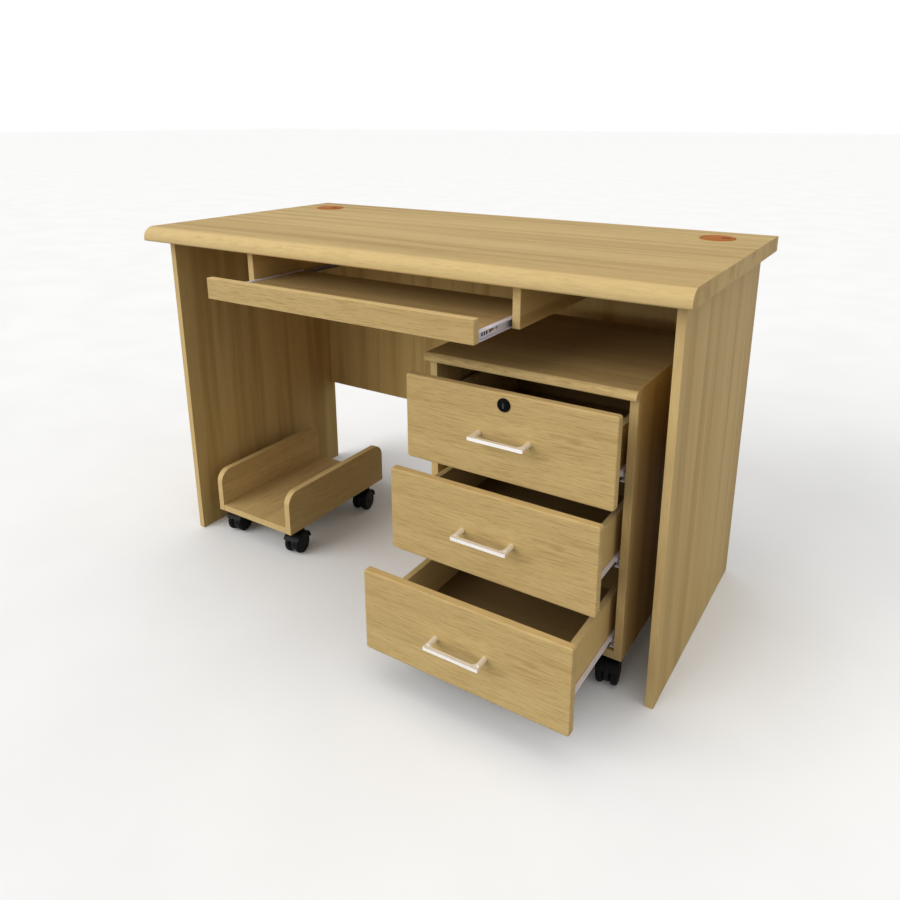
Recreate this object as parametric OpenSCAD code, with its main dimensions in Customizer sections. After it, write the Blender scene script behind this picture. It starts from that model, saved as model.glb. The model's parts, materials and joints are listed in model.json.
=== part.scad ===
// Computer desk with a pull-out keyboard tray, a three-drawer pedestal on casters
// and a low trolley on casters for the computer's case.
// Millimetres, +Z up, +X to the sitter's right, the sitter is on the -Y side.
// The origin is on the floor, below the middle of the box round the whole desk as it
// stands here, with its tray and drawers partly open.
// Depths in the sections below are counted from the desktop's front edge, towards the back.

/* [Desk] */
// Width of the desktop
desk_w = 1200; // [1200:10:1400]
// Depth of the desktop
desk_d = 600; // [580:10:700]
// Height of the desktop's upper face above the floor
desk_h = 750; // [740:5:760]
// Thickness of the desktop
top_t = 30; // [28:1:40]
// Radius of the desktop's rounded front edge
top_r = 25; // [10:1:26]
// Thickness of the desk's other boards
board_t = 15; // [15:1:18]
// How far the desktop passes each side panel
end_overhang = 20; // [10:5:30]
// How far the desktop passes the side panels at the front
front_overhang = 50; // [40:5:60]
// How far the desktop passes the side panels at the back
back_overhang = 45; // [20:5:50]
// Height of the panel across the back
modesty_h = 480; // [300:10:500]

/* [Cable grommets] */
// Radius of the hole through the desktop
grommet_hole_r = 30; // [25:1:32]
// Radius of the grommet's flange
grommet_flange_r = 35; // [34:1:40]
// Distance of each grommet's centre from the desktop's end
grommet_end = 96; // [80:1:120]
// Distance of each grommet's centre from the desktop's back edge
grommet_back = 99; // [80:1:120]
// Width of the cable notch in the lid
notch_w = 16; // [12:1:20]

/* [Keyboard tray] */
// Clear width between the two partitions that carry the tray
tray_gap = 600; // [560:10:640]
// Depth at which the partitions start
partition_y = 32; // [25:1:40]
// Height of the partitions below the desktop
partition_h = 76; // [70:1:90]
// Depth of the tray's board
tray_d = 240; // [220:10:260]
// Height of the tray's front fascia
fascia_h = 41; // [30:1:45]
// How far the tray stands open
tray_out = 120; // [40:5:150]
// Height of the tray's slides
slide_h = 17; // [15:1:18]

/* [Pedestal] */
// Width of the pedestal's top
ped_w = 400; // [380:5:420]
// Depth of the pedestal's top
ped_d = 390; // [380:5:420]
// Height of the pedestal's top above the floor
ped_h = 570; // [570:1:572]
// Depth at which the pedestal's top starts
ped_y = 40; // [20:5:60]
// Distance of the pedestal's middle from the desk's middle
ped_x = 316; // [300:1:330]
// How far the pedestal's top passes its sides at the front
ped_overhang = 19; // [17:1:25]
// Radius of the rounded front edge of the pedestal's top
ped_top_r = 12; // [8:1:14]

/* [Drawers] */
// Height of each drawer front
front_h = 158; // [150:1:158]
// Gap between one drawer front and the next
front_gap = 2; // [2:1:4]
// Height of the lowest drawer front's lower edge above the floor
front_z = 71; // [68:1:72]
// How far each drawer stands open, from the top one down
drawer_out = [63, 115, 198];
// How far the drawer sides stop below the front's upper edge
side_drop = 51; // [40:1:60]
// How far the runners stand above the front's lower edge
runner_rise = 17; // [14:1:30]
// Thickness of the drawer boxes' boards
box_t = 12; // [10:1:15]
// Thickness of the drawer bottoms
bottom_t = 4; // [3:1:5]
// Length of the drawer sides and runners
runner_l = 350; // [320:5:350]
// Overall length of each handle
handle_l = 104; // [90:1:140]
// How far each handle stands off its front
handle_reach = 32; // [25:1:35]

/* [Computer trolley] */
// Width of the trolley
cart_w = 235; // [220:5:250]
// Depth of the trolley
cart_d = 340; // [320:5:400]
// Height of the trolley's sides
cart_h = 102; // [80:1:120]
// Radius of the sides' upper corners
cart_r = 30; // [20:1:40]
// Distance of the trolley's middle from the desk's middle
cart_x = -393; // [-400:1:-380]
// Depth at which the trolley starts
cart_y = 60; // [40:5:100]

/* [Casters] */
// Radius of the caster wheels
wheel_r = 25; // [20:1:25]
// Height of a caster below the board it carries
caster_h = 63; // [60:1:64]
// Distance from the swivel axis to the wheels' axle
trail = 18; // [14:1:20]
// Turn of every caster about its stem as it stands
caster_turn = 10; // [0:1:90]

/* [Hidden] */
$fn = 64;
// Gap between pieces that move past each other
clear = 0.3;
// Radial clearance of a running or sliding fit
fit = 0.05;
// Small overlap that makes cuts pass right through
eps = 1;

// Heights and widths that follow from the driving sizes
under_z = desk_h - top_t;
side_x = desk_w / 2 - end_overhang;
inner_x = side_x - board_t;
panel_d = desk_d - front_overhang - back_overhang;
modesty_y = front_overhang + panel_d - board_t;
partition_z = under_z - partition_h;
grommet_x = desk_w / 2 - grommet_end;
grommet_y = desk_d - grommet_back;
flange_t = 2;
lid_r = grommet_hole_r - 3;
lid_t = 2;

// Dowels that join the desktop, the side panels and the panel across the back
dowel_r = 4;
dowel_up = 12;
dowel_down = 18;
dowel_side = 10;

// Tray
tray_half = tray_gap / 2;
slide_w = 12;
slide_t = 1;
tray_y = partition_y - tray_out;
board_y = tray_y + board_t;
slide_zc = partition_z + slide_h / 2;
rail_y = partition_y + board_t + eps;
rail_l = tray_d + 10;
cage_l = 56;
ball_r = 1.4;
ball_n = 6;

// Pedestal
carcass_w = ped_w - 2;
carcass_y = ped_y + ped_overhang;
carcass_d = ped_d - ped_overhang;
ped_inner = carcass_w / 2 - board_t;
ped_side_h = ped_h - board_t - caster_h;
rail_start = carcass_y + 2;

// Drawers and their runners
front_w = carcass_w - 4;
corner_r = 5;
bumper = 1;
front_y = carcass_y - bumper - board_t;
runner_gap = 12.5;
box_half = ped_inner - runner_gap;
steel_t = 1.2;
rail_h = 16;
box_z = runner_rise + steel_t;
box_h = front_h - side_drop - box_z;
groove_z = box_z + 8;
groove_d = 6;
roller_r = 6;
roller_w = 6;
rail_drop = 2.5;
handle_bar = 6;
handle_depth = 7;
leg_r = 4.8;
screw_r = 2;
head_r = 4;
head_t = 2.5;
handle_z = front_h / 2;
lock_z = front_h - 20;
lock_flange_r = 12;
lock_barrel_r = 9;
plug_r = 7;
cam_l = 26;

// Casters
axle_r = 3;
wheel_w = 14;
wheel_gap = 6;
wheel_edge = 6;
web_half = 5;
hood_gap = 1;
hood_t = 3;
hood_lift = 4;
stem_r = 4;
stem_l = 12;
boss_r = 8;
ped_caster_x = carcass_w / 2 - 31;
ped_caster_front = carcass_y + 35;
ped_caster_back = ped_y + ped_d - 45;
cart_caster_x = cart_w / 2 - 22;
cart_caster_front = cart_y + 55;
cart_caster_back = cart_y + cart_d - 41;

// The box round the desk runs from the lowest drawer's handle to the desktop's back edge
front_reach = front_y - drawer_out[2] - handle_reach;
centre_y = (front_reach + desk_d) / 2;

oak = [0.74, 0.64, 0.42];
oak_side = [0.64, 0.54, 0.36];
amber = [0.72, 0.43, 0.22];
epoxy = [0.82, 0.80, 0.84];
satin = [0.86, 0.85, 0.83];
black = [0.06, 0.06, 0.06];
beech = [0.80, 0.66, 0.46];

// ---- helpers ----

// Moves a shape drawn from the desktop's front edge into the desk's own frame
module in_frame() {
    translate([0, -centre_y, 0]) children();
}

module both_sides() {
    children();
    mirror([1, 0, 0]) children();
}

// A board given by its lowest corner and its size
module board(corner, size) {
    translate(corner) cube(size);
}

// A cylinder along X, from x0 to x1
module x_rod(x0, x1, r) {
    translate([x0, 0, 0]) rotate([0, 90, 0]) cylinder(h = x1 - x0, r = r);
}

// A cylinder along Y, from y0 to y1
module y_rod(y0, y1, r) {
    translate([0, y1, 0]) rotate([90, 0, 0]) cylinder(h = y1 - y0, r = r);
}

// A slab along X whose upper front edge is rounded, centred on x = 0
module nosed_slab(w, d, t, r) {
    translate([-w / 2, 0, 0]) rotate([90, 0, 90]) linear_extrude(w) union() {
        translate([r, 0]) square([d - r, t]);
        intersection() {
            union() {
                square([r + eps, t - r]);
                translate([r, t - r]) circle(r);
            }
            square([r + eps, t]);
        }
    }
}

// A rectangle with four rounded corners
module round_rect(w, h, r) {
    translate([r, 0]) square([w - 2 * r, h]);
    translate([0, r]) square([w, h - 2 * r]);
    for (x = [r, w - r], y = [r, h - r]) translate([x, y]) circle(r);
}

// ---- desk ----

// The dowels, or with play the holes they sit in
module dowel_set(play) {
    in_frame() both_sides() {
        for (y = [0.15, 0.5, 0.85])
            translate([side_x - board_t / 2, front_overhang + y * panel_d, under_z - dowel_down])
                cylinder(h = dowel_up + dowel_down, r = dowel_r + play);
        for (y = [0.15, 0.75])
            translate([tray_half + board_t / 2, partition_y + y * (modesty_y - partition_y), under_z - dowel_down])
                cylinder(h = dowel_up + dowel_down, r = dowel_r + play);
        for (z = [0.2, 0.8])
            translate([0, modesty_y + board_t / 2, under_z - z * modesty_h])
                x_rod(inner_x - dowel_down, inner_x + dowel_side, dowel_r + play);
    }
}

module desk_dowels() {
    color(beech) dowel_set(0);
}

module desktop() {
    color(oak) difference() {
        in_frame() translate([0, 0, under_z]) nosed_slab(desk_w, desk_d, top_t, top_r);
        in_frame() both_sides() translate([grommet_x, grommet_y, under_z - eps])
            cylinder(h = top_t + 2 * eps, r = grommet_hole_r);
        dowel_set(fit);
    }
}

module desk_side(x) {
    color(oak_side) difference() {
        in_frame() board([x, front_overhang, 0], [board_t, panel_d, under_z]);
        dowel_set(fit);
    }
}

module desk_side_left() {
    desk_side(-side_x);
}

module desk_side_right() {
    desk_side(inner_x);
}

module modesty_panel() {
    color(oak_side) difference() {
        in_frame() board([-inner_x, modesty_y, under_z - modesty_h], [2 * inner_x, board_t, modesty_h]);
        dowel_set(fit);
    }
}

module partition(x) {
    color(oak_side) difference() {
        in_frame() board([x, partition_y, partition_z], [board_t, modesty_y - partition_y, partition_h]);
        dowel_set(fit);
    }
}

module partition_left() {
    partition(-tray_half - board_t);
}

module partition_right() {
    partition(tray_half);
}

// Flanged sleeves in the two holes, each with a ledge that holds its lid
module grommet_rings() {
    ledge_r = lid_r - 2;
    ledge_z = desk_h + flange_t - lid_t - 2 * flange_t;
    color(amber) in_frame() both_sides() translate([grommet_x, grommet_y, 0]) difference() {
        union() {
            translate([0, 0, desk_h]) cylinder(h = flange_t, r = grommet_flange_r);
            translate([0, 0, under_z]) cylinder(h = top_t, r = grommet_hole_r - fit);
        }
        translate([0, 0, under_z - eps]) cylinder(h = ledge_z - under_z + eps, r = lid_r);
        translate([0, 0, under_z]) cylinder(h = top_t + flange_t, r = ledge_r);
        translate([0, 0, desk_h + flange_t - lid_t - clear])
            cylinder(h = lid_t + clear + eps, r = lid_r);
    }
}

// A lid turns in its ring, and its notch lets the cables through
module grommet_lid(x) {
    color(amber) in_frame() translate([x, grommet_y, desk_h + flange_t - lid_t]) difference() {
        cylinder(h = lid_t, r = lid_r - clear);
        translate([lid_r / 3, -notch_w / 2, -eps]) cube([lid_r, notch_w, lid_t + 2 * eps]);
    }
}

module grommet_lid_left() {
    grommet_lid(-grommet_x);
}

module grommet_lid_right() {
    grommet_lid(grommet_x);
}

// ---- keyboard tray ----

// A channel along Y: its web stands at web_x, and its flanges reach from there to flange_x
module channel(web_x, flange_x, h, t, l) {
    low = min(web_x, flange_x);
    wide = abs(flange_x - web_x);
    lift = h / 2 - t;
    web_low = web_x < flange_x ? web_x : web_x - t;
    translate([web_low, 0, -h / 2]) cube([t, l, h]);
    for (z = [-h / 2, lift]) translate([low, 0, z]) cube([wide, l, t]);
}

// The fixed members of the slides, screwed to the partitions
module tray_rails() {
    color(epoxy) in_frame() both_sides() translate([tray_half, rail_y, slide_zc]) mirror([1, 0, 0])
        channel(0, slide_w - 4, slide_h / 2, slide_t, rail_l);
}

// The moving members of the slides, along the tray's two side edges
module tray_runners() {
    color(epoxy) in_frame() both_sides() translate([tray_half, board_y, slide_zc]) mirror([1, 0, 0])
        channel(slide_w, 2, slide_h, slide_t, tray_d);
}

// Strips that hold the balls between the fixed and the moving members
module tray_ball_cages() {
    race = slide_h / 2 - slide_t - ball_r - clear / 2;
    cage_y = (rail_y + board_y + tray_d - cage_l) / 2;
    strip_t = 0.8;
    color(satin) in_frame() both_sides() translate([tray_half, cage_y, slide_zc]) mirror([1, 0, 0]) {
        channel(slide_w - 2, 3, 2 * race + strip_t, strip_t, cage_l);
        for (z = [-race, race], i = [0 : ball_n - 1])
            translate([slide_w / 2 - 1, (i + 0.5) * cage_l / ball_n, z]) sphere(ball_r);
    }
}

module tray_board() {
    half = tray_half - slide_w;
    color(oak) in_frame() board([-half, board_y, partition_z], [2 * half, tray_d, board_t]);
}

module tray_fascia() {
    half = tray_half - eps;
    color(oak) in_frame() board([-half, tray_y, partition_z], [2 * half, board_t, fascia_h]);
}

// ---- pedestal ----

module in_pedestal() {
    in_frame() translate([ped_x, 0, 0]) children();
}

module ped_top() {
    color(oak) in_pedestal() translate([0, ped_y, ped_h - board_t])
        nosed_slab(ped_w, ped_d, board_t, ped_top_r);
}

module ped_side(x) {
    color(oak_side) in_pedestal() board([x, carcass_y, caster_h], [board_t, carcass_d, ped_side_h]);
}

module ped_side_left() {
    ped_side(-carcass_w / 2);
}

module ped_side_right() {
    ped_side(ped_inner);
}

module ped_bottom() {
    color(oak_side) in_pedestal() difference() {
        board([-ped_inner, carcass_y, caster_h], [2 * ped_inner, carcass_d, board_t]);
        for (x = [-ped_caster_x, ped_caster_x], y = [ped_caster_front, ped_caster_back])
            stem_hole(x, y);
    }
}

module ped_back() {
    color(oak_side) in_pedestal()
        board([-ped_inner, ped_y + ped_d - board_t, caster_h + board_t],
              [2 * ped_inner, board_t, ped_side_h - board_t]);
}

// Height of a drawer front's lower edge, counting the drawers from the top
function front_low(k) = front_z + (3 - k) * (front_h + front_gap);
// Height of a drawer's runner
function runner_z(k) = front_low(k) + runner_rise;
// Depth of a drawer front's face as it stands
function face_y(k) = front_y - drawer_out[k - 1];

// The six fixed runner members, each with a roller at its front end
module ped_rails() {
    roller_y = 8;
    cut_l = roller_y + roller_r + 2;
    color(epoxy) in_pedestal() both_sides() for (k = [1 : 3])
        translate([ped_inner, rail_start, runner_z(k) - rail_drop]) mirror([1, 0, 0]) {
            cube([steel_t, runner_l, rail_h]);
            cube([runner_gap - 3.5, runner_l, steel_t]);
            translate([0, cut_l, rail_h - steel_t]) cube([runner_gap - 3.5, runner_l - cut_l, steel_t]);
            translate([0, roller_y, rail_drop + rail_h - steel_t - clear - roller_r]) {
                x_rod(steel_t, runner_gap - 1.8 - roller_w, roller_r / 3);
                x_rod(runner_gap - 1.8 - roller_w, runner_gap - 1.8, roller_r);
            }
        }
}

// ---- drawers ----

// Everything on drawer k is drawn from its face, with y = 0 there and z = 0 at its front's lower edge
module in_drawer(k) {
    in_pedestal() translate([0, face_y(k), front_low(k)]) children();
}

module handle_holes() {
    for (x = [-1, 1]) translate([x * (handle_l / 2 - leg_r), 0, handle_z])
        y_rod(-eps, board_t + eps, screw_r + fit);
}

module drawer_front(k) {
    color(oak) in_drawer(k) difference() {
        translate([-front_w / 2, board_t, 0]) rotate([90, 0, 0]) linear_extrude(board_t)
            round_rect(front_w, front_h, corner_r);
        handle_holes();
        if (k == 1) translate([0, 0, lock_z]) y_rod(-eps, board_t + eps, lock_barrel_r + fit);
    }
}

module drawer_1_front() {
    drawer_front(1);
}

module drawer_2_front() {
    drawer_front(2);
}

module drawer_3_front() {
    drawer_front(3);
}

// The two long sides, with a groove near the foot for the bottom panel
module drawer_sides(k) {
    color(oak_side) in_drawer(k) both_sides() difference() {
        board([box_half - box_t, board_t, box_z], [box_t, runner_l, box_h]);
        board([box_half - box_t - eps, board_t - eps, groove_z],
              [groove_d + eps, runner_l + 2 * eps, bottom_t]);
    }
}

module drawer_1_sides() {
    drawer_sides(1);
}

module drawer_2_sides() {
    drawer_sides(2);
}

module drawer_3_sides() {
    drawer_sides(3);
}

module drawer_back(k) {
    inner = box_half - box_t;
    color(oak_side) in_drawer(k)
        board([-inner, board_t + runner_l - box_t, groove_z + bottom_t],
              [2 * inner, box_t, box_h - groove_z + box_z - bottom_t]);
}

module drawer_1_back() {
    drawer_back(1);
}

module drawer_2_back() {
    drawer_back(2);
}

module drawer_3_back() {
    drawer_back(3);
}

module drawer_bottom(k) {
    half = box_half - box_t + groove_d;
    color(beech) in_drawer(k) board([-half, board_t, groove_z], [2 * half, runner_l, bottom_t]);
}

module drawer_1_bottom() {
    drawer_bottom(1);
}

module drawer_2_bottom() {
    drawer_bottom(2);
}

module drawer_3_bottom() {
    drawer_bottom(3);
}

// The runner members on the drawer: each wraps its side's lower edge and has a roller at the back
module drawer_runners(k) {
    channel_h = rail_h - 2 * steel_t;
    back_r = channel_h / 2 - clear;
    color(epoxy) in_drawer(k) both_sides() translate([box_half, board_t, runner_rise]) {
        cube([steel_t, runner_l, rail_h]);
        translate([-box_t, 0, 0]) cube([box_t + steel_t, runner_l, steel_t]);
        translate([0, 0, rail_h - steel_t]) cube([runner_gap - 3.5, runner_l, steel_t]);
        translate([0, runner_l - 12, steel_t + channel_h / 2 - rail_drop]) {
            x_rod(steel_t, 4.5, roller_r / 3);
            x_rod(4.5, 4.5 + roller_w, back_r);
        }
    }
}

module drawer_1_runners() {
    drawer_runners(1);
}

module drawer_2_runners() {
    drawer_runners(2);
}

module drawer_3_runners() {
    drawer_runners(3);
}

// A bow handle on two round legs, with a screw in each leg from behind the front
module drawer_handle(k) {
    leg_x = handle_l / 2 - leg_r;
    color(satin) in_drawer(k) translate([0, 0, handle_z]) {
        translate([-handle_l / 2, -handle_reach, -handle_bar / 2])
            cube([handle_l, handle_depth, handle_bar]);
        for (x = [-leg_x, leg_x]) translate([x, 0, 0]) {
            y_rod(handle_depth - handle_reach - eps, 0, leg_r);
            y_rod(-eps, board_t, screw_r);
            y_rod(board_t, board_t + head_t, head_r);
        }
    }
}

module drawer_1_handle() {
    drawer_handle(1);
}

module drawer_2_handle() {
    drawer_handle(2);
}

module drawer_3_handle() {
    drawer_handle(3);
}

module lock_housing() {
    proud = 2.5;
    color(black) in_drawer(1) translate([0, 0, lock_z]) difference() {
        union() {
            y_rod(-proud, 0, lock_flange_r);
            y_rod(-proud, board_t + 6, lock_barrel_r);
        }
        y_rod(-proud - eps, board_t + 6 + eps, plug_r + 2 * fit);
    }
}

// The plug with its key slot at the front and its cam at the back
module lock_plug() {
    proud = 3;
    cam_y = board_t + 6 + clear;
    cam_w = 10;
    cam_t = 2;
    color(black) in_drawer(1) translate([0, 0, lock_z]) {
        difference() {
            y_rod(-proud, cam_y, plug_r);
            translate([-1, -proud - eps, -plug_r + 2]) cube([2, 6 + eps, 2 * plug_r - 4]);
        }
        translate([-cam_w / 2, cam_y, -cam_l]) cube([cam_w, cam_t, cam_l + cam_w / 2]);
    }
}

// ---- computer trolley ----

module in_cart() {
    in_frame() translate([cart_x, 0, 0]) children();
}

module cart_base() {
    inner = cart_w / 2 - board_t;
    color(oak_side) in_cart() difference() {
        board([-inner, cart_y, caster_h], [2 * inner, cart_d, board_t]);
        for (x = [-cart_caster_x, cart_caster_x], y = [cart_caster_front, cart_caster_back])
            stem_hole(x, y);
    }
}

// A side with its two upper corners rounded, from its inner face at x
module cart_side(x) {
    color(oak_side) in_cart() translate([x, cart_y, caster_h]) rotate([90, 0, 90])
        linear_extrude(board_t) union() {
            square([cart_d, cart_h - cart_r]);
            translate([cart_r, 0]) square([cart_d - 2 * cart_r, cart_h]);
            for (y = [cart_r, cart_d - cart_r]) translate([y, cart_h - cart_r]) circle(cart_r);
        }
}

module cart_side_left() {
    cart_side(-cart_w / 2);
}

module cart_side_right() {
    cart_side(cart_w / 2 - board_t);
}

// ---- casters ----

// The socket for a caster's stem, in the board above it
module stem_hole(x, y) {
    translate([x, y, caster_h - eps]) cylinder(h = stem_l + clear + eps, r = stem_r + fit);
}

// Draws a caster from its axle's middle, with the stem on the +Y side and the caster turned
module at_caster(x, y) {
    translate([x, y, 0]) rotate([0, 0, caster_turn]) translate([0, -trail, wheel_r]) children();
}

// The outline of the hood, a sector from the stem's side over the wheels
module hood_outline() {
    outer = wheel_r + hood_gap + hood_t;
    difference() {
        circle(outer);
        translate([-outer, -outer]) square([2 * outer, outer + hood_lift]);
        rotate(235) translate([hood_lift, -outer]) square([outer, 2 * outer]);
    }
}

// The hood, its web between the wheels, the axle and the stem it swivels on
module caster_fork(x, y) {
    half = wheel_gap + wheel_w;
    color(black) at_caster(x, y) {
        difference() {
            union() {
                translate([-half, 0, 0]) rotate([90, 0, 90]) linear_extrude(2 * half) hood_outline();
                x_rod(-web_half, web_half, wheel_r * 0.7);
                translate([0, trail, wheel_r * 0.4])
                    cylinder(h = caster_h - wheel_r * 1.4 - clear, r = boss_r);
            }
            both_sides() x_rod(web_half, half + eps, wheel_r + hood_gap);
        }
        translate([0, trail, caster_h - wheel_r - clear - eps]) cylinder(h = stem_l + eps, r = stem_r);
        x_rod(-half + 2, half - 2, axle_r);
    }
}

// The two wheels, on the axle either side of the web
module caster_wheels(x, y) {
    color(black) at_caster(x, y) both_sides() translate([wheel_gap, 0, 0]) rotate([0, 90, 0])
        rotate_extrude() difference() {
            union() {
                square([wheel_r - wheel_edge, wheel_w]);
                translate([0, wheel_edge]) square([wheel_r, wheel_w - 2 * wheel_edge]);
                for (z = [wheel_edge, wheel_w - wheel_edge])
                    translate([wheel_r - wheel_edge, z]) circle(wheel_edge);
            }
            translate([-eps, -eps]) square([axle_r + fit + eps, wheel_w - 2 + eps]);
        }
}

module ped_fork(x, y) {
    in_pedestal() caster_fork(x * ped_caster_x, y);
}

module ped_wheels(x, y) {
    in_pedestal() caster_wheels(x * ped_caster_x, y);
}

module cart_fork(x, y) {
    in_cart() caster_fork(x * cart_caster_x, y);
}

module cart_wheels(x, y) {
    in_cart() caster_wheels(x * cart_caster_x, y);
}

desktop();
desk_side_left();
desk_side_right();
modesty_panel();
partition_left();
partition_right();
grommet_rings();
grommet_lid_left();
grommet_lid_right();
desk_dowels();
tray_rails();
tray_board();
tray_fascia();
tray_runners();
tray_ball_cages();
ped_top();
ped_side_left();
ped_side_right();
ped_bottom();
ped_back();
ped_rails();
drawer_1_front();
drawer_2_front();
drawer_3_front();
drawer_1_sides();
drawer_2_sides();
drawer_3_sides();
drawer_1_back();
drawer_2_back();
drawer_3_back();
drawer_1_bottom();
drawer_2_bottom();
drawer_3_bottom();
drawer_1_runners();
drawer_2_runners();
drawer_3_runners();
drawer_1_handle();
drawer_2_handle();
drawer_3_handle();
lock_housing();
lock_plug();
cart_base();
cart_side_left();
cart_side_right();
ped_fork(-1, ped_caster_front);  // ped_fork_fl
ped_fork(1, ped_caster_front);  // ped_fork_fr
ped_fork(-1, ped_caster_back);  // ped_fork_bl
ped_fork(1, ped_caster_back);  // ped_fork_br
ped_wheels(-1, ped_caster_front);  // ped_wheels_fl
ped_wheels(1, ped_caster_front);  // ped_wheels_fr
ped_wheels(-1, ped_caster_back);  // ped_wheels_bl
ped_wheels(1, ped_caster_back);  // ped_wheels_br
cart_fork(-1, cart_caster_front);  // cart_fork_fl
cart_fork(1, cart_caster_front);  // cart_fork_fr
cart_fork(-1, cart_caster_back);  // cart_fork_bl
cart_fork(1, cart_caster_back);  // cart_fork_br
cart_wheels(-1, cart_caster_front);  // cart_wheels_fl
cart_wheels(1, cart_caster_front);  // cart_wheels_fr
cart_wheels(-1, cart_caster_back);  // cart_wheels_bl
cart_wheels(1, cart_caster_back);  // cart_wheels_br
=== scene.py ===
"""The looks of the computer desk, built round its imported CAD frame. All lengths are in metres."""

import json
import math
import zlib

import bmesh
import bpy
from mathutils import Matrix, Vector


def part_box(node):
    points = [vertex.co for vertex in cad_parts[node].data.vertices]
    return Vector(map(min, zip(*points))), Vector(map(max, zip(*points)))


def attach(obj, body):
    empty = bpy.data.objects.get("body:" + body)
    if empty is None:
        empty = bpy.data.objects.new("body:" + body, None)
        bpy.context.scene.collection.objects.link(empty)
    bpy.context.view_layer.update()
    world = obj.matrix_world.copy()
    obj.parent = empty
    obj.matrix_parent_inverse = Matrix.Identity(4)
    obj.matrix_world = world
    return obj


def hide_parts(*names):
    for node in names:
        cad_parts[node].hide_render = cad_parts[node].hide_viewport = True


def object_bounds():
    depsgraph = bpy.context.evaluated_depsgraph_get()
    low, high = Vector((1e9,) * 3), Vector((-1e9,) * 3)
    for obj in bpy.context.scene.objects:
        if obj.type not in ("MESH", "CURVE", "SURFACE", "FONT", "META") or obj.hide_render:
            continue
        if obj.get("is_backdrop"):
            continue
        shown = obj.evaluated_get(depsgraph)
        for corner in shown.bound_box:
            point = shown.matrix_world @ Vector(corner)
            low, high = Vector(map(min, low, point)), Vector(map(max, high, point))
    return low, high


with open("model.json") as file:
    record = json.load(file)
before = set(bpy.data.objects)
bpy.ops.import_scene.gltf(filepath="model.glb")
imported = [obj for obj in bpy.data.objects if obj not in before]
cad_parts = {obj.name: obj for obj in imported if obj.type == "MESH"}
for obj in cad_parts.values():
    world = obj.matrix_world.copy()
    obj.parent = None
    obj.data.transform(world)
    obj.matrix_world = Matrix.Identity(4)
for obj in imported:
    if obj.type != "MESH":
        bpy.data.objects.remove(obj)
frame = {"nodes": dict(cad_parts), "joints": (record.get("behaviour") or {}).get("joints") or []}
cad_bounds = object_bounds()
scene = bpy.context.scene
X, Y, Z = 0, 1, 2
SHARP_ANGLE = math.radians(34)
# Gap between pieces that move past each other, and radial clearance of a fit
CLEAR = 0.0003
FIT = 0.00005


# ---------------------------------------------------------------- materials


def srgb(red, green, blue):
    """An 8-bit screen colour as the linear colour that shaders take."""

    def linear(value):
        value /= 255
        return value / 12.92 if value <= 0.04045 else ((value + 0.055) / 1.055) ** 2.4

    return (linear(red), linear(green), linear(blue), 1.0)


def shaded(colour, share):
    return tuple(min(1.0, share * c) for c in colour[:3]) + (1.0,)


class Shader:
    """A material's node tree, with short calls for the nodes used here."""

    def __init__(self, name):
        self.material = bpy.data.materials.new(name)
        self.material.use_nodes = True
        self.tree = self.material.node_tree
        self.tree.nodes.clear()
        self.surface = self.add("ShaderNodeBsdfPrincipled")
        output = self.add("ShaderNodeOutputMaterial")
        self.join(self.surface.outputs["BSDF"], output.inputs["Surface"])

    def add(self, kind, **settings):
        node = self.tree.nodes.new(kind)
        for key, value in settings.items():
            setattr(node, key, value)
        return node

    def join(self, source, socket):
        self.tree.links.new(source, socket)

    def put(self, value, socket):
        if isinstance(value, bpy.types.NodeSocket):
            self.join(value, socket)
        else:
            socket.default_value = value

    def set(self, **values):
        for key, value in values.items():
            self.put(value, self.surface.inputs[key.replace("_", " ")])

    def math(self, operation, a, b=0.0):
        node = self.add("ShaderNodeMath", operation=operation)
        self.put(a, node.inputs[0])
        self.put(b, node.inputs[1])
        return node.outputs[0]

    def vector(self, x, y, z):
        node = self.add("ShaderNodeCombineXYZ")
        for value, socket in zip((x, y, z), node.inputs):
            self.put(value, socket)
        return node.outputs[0]

    def noise(self, vector, scale=1.0, detail=2.0, roughness=0.5):
        node = self.add("ShaderNodeTexNoise")
        self.join(vector, node.inputs["Vector"])
        node.inputs["Scale"].default_value = scale
        node.inputs["Detail"].default_value = detail
        node.inputs["Roughness"].default_value = roughness
        return node.outputs["Fac"]

    def span(self, value, low, high, to_low=0.0, to_high=1.0):
        """The value eased from one range to another."""
        node = self.add("ShaderNodeMapRange", clamp=True, interpolation_type="SMOOTHSTEP")
        self.put(value, node.inputs["Value"])
        node.inputs["From Min"].default_value = low
        node.inputs["From Max"].default_value = high
        node.inputs["To Min"].default_value = to_low
        node.inputs["To Max"].default_value = to_high
        return node.outputs["Result"]

    def mix(self, factor, a, b):
        """One colour mixed into another. The node keeps its colours on these sockets."""
        node = self.add("ShaderNodeMix", data_type="RGBA")
        for value, socket in ((factor, 0), (a, 6), (b, 7)):
            self.put(value, node.inputs[socket])
        return node.outputs[2]

    def bump(self, height, distance, strength):
        node = self.add("ShaderNodeBump")
        self.join(height, node.inputs["Height"])
        node.inputs["Distance"].default_value = distance
        node.inputs["Strength"].default_value = strength
        return node.outputs["Normal"]

    def coordinates(self):
        return self.add("ShaderNodeTexCoord").outputs["Object"]


LIGHT_OAK = srgb(209, 182, 126)
MID_OAK = srgb(196, 168, 112)
DARK_OAK = srgb(160, 130, 80)
PORE_OAK = srgb(118, 90, 52)
ROSY_OAK = srgb(192, 156, 106)


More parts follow.
